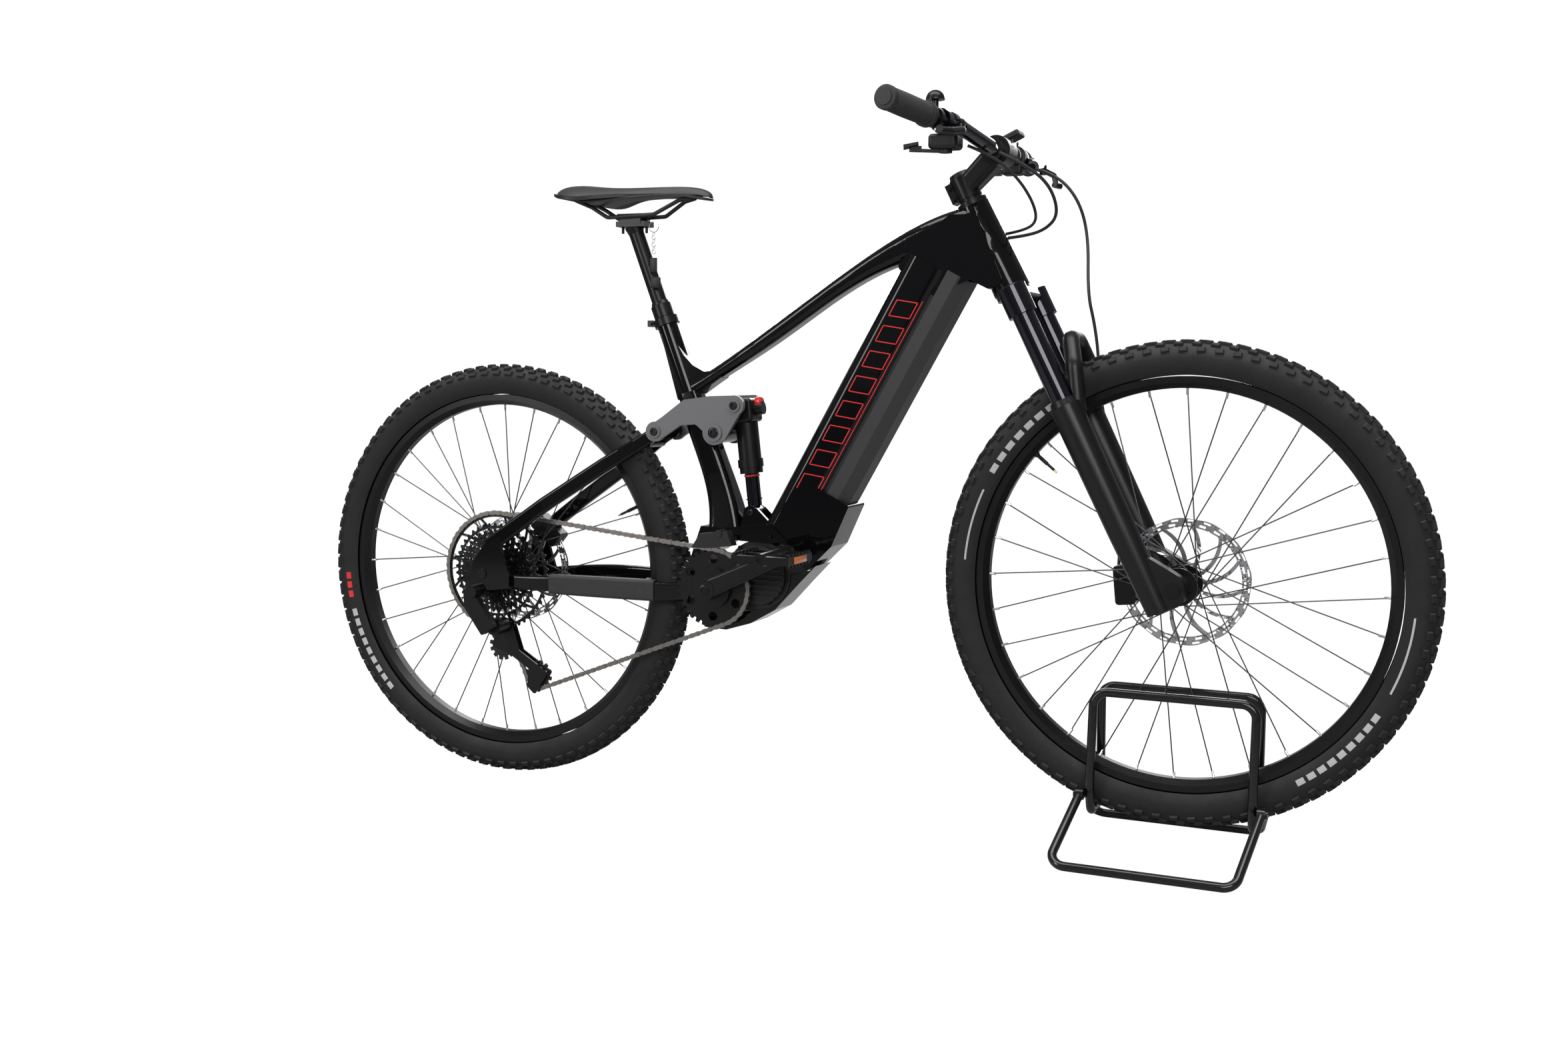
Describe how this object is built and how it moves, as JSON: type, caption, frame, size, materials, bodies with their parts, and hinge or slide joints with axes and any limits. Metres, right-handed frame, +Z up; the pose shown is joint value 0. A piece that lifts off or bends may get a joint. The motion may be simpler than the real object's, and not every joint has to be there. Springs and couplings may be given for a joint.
{
  "type": "electric full-suspension mountain bicycle in a floor stand",
  "caption": "Full-suspension electric mountain bicycle, 29-inch knobbly tyres, dropper post and cassette drivetrain, front wheel held in a bent-rod floor stand.",
  "frame": {"origin": "on the floor, in the bicycle's mid plane, midway between the wheel centres", "axes": "+X forward, +Y to the rider's left, +Z up"},
  "size_m": [1.9546, 0.785, 1.14],
  "materials": {
    "frame_paint": "gloss black paint under clear coat",
    "cover_plastic": "matte moulded cover",
    "link_grey": "satin grey paint",
    "steel": "chain steel",
    "cassette_black": "black oxide steel",
    "matte_black": "matte moulded plastic",
    "black_metal": "satin black anodised metal",
    "motor_grey": "cast metal painted dark grey",
    "tyre_rubber": "knobbly rubber",
    "soft_rubber": "moulded rubber",
    "rotor_steel": "ground steel",
    "spoke_steel": "black spokes",
    "stanchion": "polished black",
    "fork_paint": "satin black paint",
    "cover_skin": "saddle cover",
    "pack_case": "battery case",
    "stand_paint": "black powder coat",
    "silver": "polished alloy"
  },
  "bodies": {
    "frame": {"main_frame": "frame_paint", "frame_fittings": "black_metal", "dropper_outer": "black_metal", "battery_pack": "pack_case", "battery_cover": "cover_plastic", "motor_unit": "motor_grey", "motor_covers": "frame_paint", "chain_guide": "matte_black", "chain": "steel"},
    "steering": {"fork_upper": "stanchion", "stem": "black_metal", "handlebar": "black_metal", "grips": "soft_rubber", "brake_masters": "matte_black", "shifter_body": "matte_black", "left_controls": "matte_black", "bell": "matte_black", "front_brake_hose": "soft_rubber", "rear_brake_hose": "soft_rubber", "shift_cable": "soft_rubber"},
    "brake_lever_right": {"brake_lever_right": "silver"},
    "brake_lever_left": {"brake_lever_left": "silver"},
    "shift_paddle": {"shift_paddle": "silver"},
    "seat_remote": {"seat_remote_lever": "matte_black"},
    "lowers": {"fork_lowers": "fork_paint", "front_axle": "black_metal", "front_caliper": "black_metal"},
    "front_wheel": {"front_tyre": "tyre_rubber", "front_rim": "black_metal", "front_spokes": "spoke_steel", "front_hub": "black_metal", "front_rotor": "rotor_steel"},
    "stand": {"stand_cradle": "stand_paint"},
    "foot_right": {"stand_foot_right": "stand_paint"},
    "foot_left": {"stand_foot_left": "stand_paint"},
    "swingarm": {"chainstays": "frame_paint", "chainstay_guard": "soft_rubber"},
    "rear_triangle": {"seatstays": "frame_paint", "rear_axle": "black_metal", "rear_caliper": "black_metal", "derailleur_body": "black_metal"},
    "cage": {"derailleur_cage": "black_metal"},
    "jockey_upper": {"upper_jockey": "matte_black"},
    "jockey_lower": {"lower_jockey": "matte_black"},
    "rear_wheel": {"rear_tyre": "tyre_rubber", "rear_rim": "black_metal", "rear_spokes": "spoke_steel", "rear_hub": "black_metal", "rear_rotor": "rotor_steel"},
    "cassette": {"cassette": "cassette_black"},
    "rocker": {"rocker_links": "link_grey"},
    "shock_lower": {"shock_shaft": "stanchion"},
    "shock_upper": {"shock_can": "black_metal"},
    "cranks": {"crank_arms": "black_metal", "chainring": "black_metal"},
    "pedal_right": {"pedal_right": "black_metal"},
    "pedal_left": {"pedal_left": "black_metal"},
    "seatpost": {"dropper_inner": "black_metal", "saddle_base": "matte_black", "saddle_pad": "cover_skin"}
  },
  "joints": [
    {"name": "steering", "type": "hinge", "parent": "frame", "child": "steering", "pos_m": [0.29552, 0, 0.93653], "axis": [-0.4446, 0, 0.8957], "range_deg": [-50, 50], "deforming": ["rear_brake_hose", "shift_cable"]},
    {"name": "fork_travel", "type": "slide", "parent": "steering", "child": "lowers", "axis": [-0.4446, 0, 0.8957], "range_m": [0, 0.12], "stiffness_N_per_m": 2200, "springref_m": -0.03, "deforming": ["front_brake_hose"]},
    {"name": "front_wheel_spin", "type": "hinge", "parent": "lowers", "child": "front_wheel", "pos_m": [0.6044, 0, 0.42], "axis": [0, 1, 0], "continuous": true},
    {"name": "stand_release", "type": "slide", "parent": "lowers", "child": "stand", "axis": [0, 0, -1], "range_m": [0, 0.035]},
    {"name": "stand_foot_right_fold", "type": "hinge", "parent": "stand", "child": "foot_right", "pos_m": [0.6044, -0.046, 0.09], "axis": [1, 0, 0], "range_deg": [0, 40]},
    {"name": "stand_foot_left_fold", "type": "hinge", "parent": "stand", "child": "foot_left", "pos_m": [0.6044, 0.046, 0.09], "axis": [-1, 0, 0], "range_deg": [0, 40]},
    {"name": "swingarm", "type": "hinge", "parent": "frame", "child": "swingarm", "pos_m": [-0.2114, 0, 0.366], "axis": [0, 1, 0], "range_deg": [0, 16], "stiffness_Nm_per_rad": 260, "springref_deg": -5.73, "deforming": ["chain"]},
    {"name": "seatstay_link", "type": "hinge", "parent": "swingarm", "child": "rear_triangle", "pos_m": [-0.5634, 0, 0.362], "axis": [0, 1, 0], "range_deg": [-13.16, 0.3]},
    {"name": "rocker_link", "type": "hinge", "parent": "frame", "child": "rocker", "pos_m": [-0.1664, 0, 0.634], "axis": [0, 1, 0], "range_deg": [-0.3, 44.62]},
    {"name": "shock_tilt", "type": "hinge", "parent": "frame", "child": "shock_lower", "pos_m": [-0.1074, 0, 0.5], "axis": [0, 1, 0], "range_deg": [-0.3, 8.09]},
    {"name": "shock_stroke", "type": "slide", "parent": "shock_lower", "child": "shock_upper", "axis": [0.1213, 0, -0.9926], "range_m": [-0.0005, 0.03926]},
    {"name": "crank_spin", "type": "hinge", "parent": "frame", "child": "cranks", "pos_m": [-0.1614, 0, 0.373], "axis": [0, 1, 0], "continuous": true},
    {"name": "pedal_right_spin", "type": "hinge", "parent": "cranks", "child": "pedal_right", "pos_m": [-0.01186, 0, 0.44273], "axis": [0, 1, 0], "continuous": true},
    {"name": "pedal_left_spin", "type": "hinge", "parent": "cranks", "child": "pedal_left", "pos_m": [-0.31094, 0, 0.30327], "axis": [0, 1, 0], "continuous": true},
    {"name": "rear_wheel_spin", "type": "hinge", "parent": "rear_triangle", "child": "rear_wheel", "pos_m": [-0.6044, 0, 0.373], "axis": [0, 1, 0], "continuous": true},
    {"name": "cassette_spin", "type": "hinge", "parent": "rear_triangle", "child": "cassette", "pos_m": [-0.6044, 0, 0.373], "axis": [0, 1, 0], "continuous": true},
    {"name": "cage_pivot", "type": "hinge", "parent": "rear_triangle", "child": "cage", "pos_m": [-0.5864, 0, 0.277], "axis": [0, 1, 0], "range_deg": [-2, 8], "stiffness_Nm_per_rad": 0.6, "springref_deg": -22.92},
    {"name": "upper_jockey_spin", "type": "hinge", "parent": "cage", "child": "jockey_upper", "pos_m": [-0.5944, 0, 0.237], "axis": [0, 1, 0], "continuous": true},
    {"name": "lower_jockey_spin", "type": "hinge", "parent": "cage", "child": "jockey_lower", "pos_m": [-0.5184, 0, 0.189], "axis": [0, 1, 0], "continuous": true},
    {"name": "dropper", "type": "slide", "parent": "frame", "child": "seatpost", "axis": [0.3595, 0, -0.9331], "range_m": [0, 0.1], "stiffness_N_per_m": 600, "springref_m": -0.05},
    {"name": "right_brake_lever", "type": "hinge", "parent": "steering", "child": "brake_lever_right", "pos_m": [0.31345, -0.24, 1.08225], "axis": [0, 0, 1], "range_deg": [-14, 0], "stiffness_Nm_per_rad": 1.2, "springref_deg": 5.73},
    {"name": "left_brake_lever", "type": "hinge", "parent": "steering", "child": "brake_lever_left", "pos_m": [0.31345, 0.24, 1.08225], "axis": [0, 0, 1], "range_deg": [0, 14], "stiffness_Nm_per_rad": 1.2, "springref_deg": -5.73},
    {"name": "shift_paddle_press", "type": "hinge", "parent": "steering", "child": "shift_paddle", "pos_m": [0.27537, -0.19, 1.05977], "axis": [0, 0, 1], "range_deg": [-15, 15], "stiffness_Nm_per_rad": 0.3},
    {"name": "seat_remote_press", "type": "hinge", "parent": "steering", "child": "seat_remote", "pos_m": [0.25682, 0.178, 1.07421], "axis": [0, 1, 0], "range_deg": [0, 12], "stiffness_Nm_per_rad": 0.3, "springref_deg": -2.86}
  ],
  "couplings": [
    {"joint": "seatstay_link", "follows": "swingarm", "ratio": -0.804},
    {"joint": "rocker_link", "follows": "swingarm", "ratio": 2.77},
    {"joint": "shock_tilt", "follows": "swingarm", "ratio": 0.487},
    {"joint": "shock_stroke", "follows": "swingarm", "m_per_rad": 0.1388},
    {"joint": "cassette_spin", "follows": "crank_spin", "ratio": 0.61538},
    {"joint": "lower_jockey_spin", "follows": "crank_spin", "ratio": 2.6667},
    {"joint": "upper_jockey_spin", "follows": "crank_spin", "ratio": -2.6667}
  ]
}
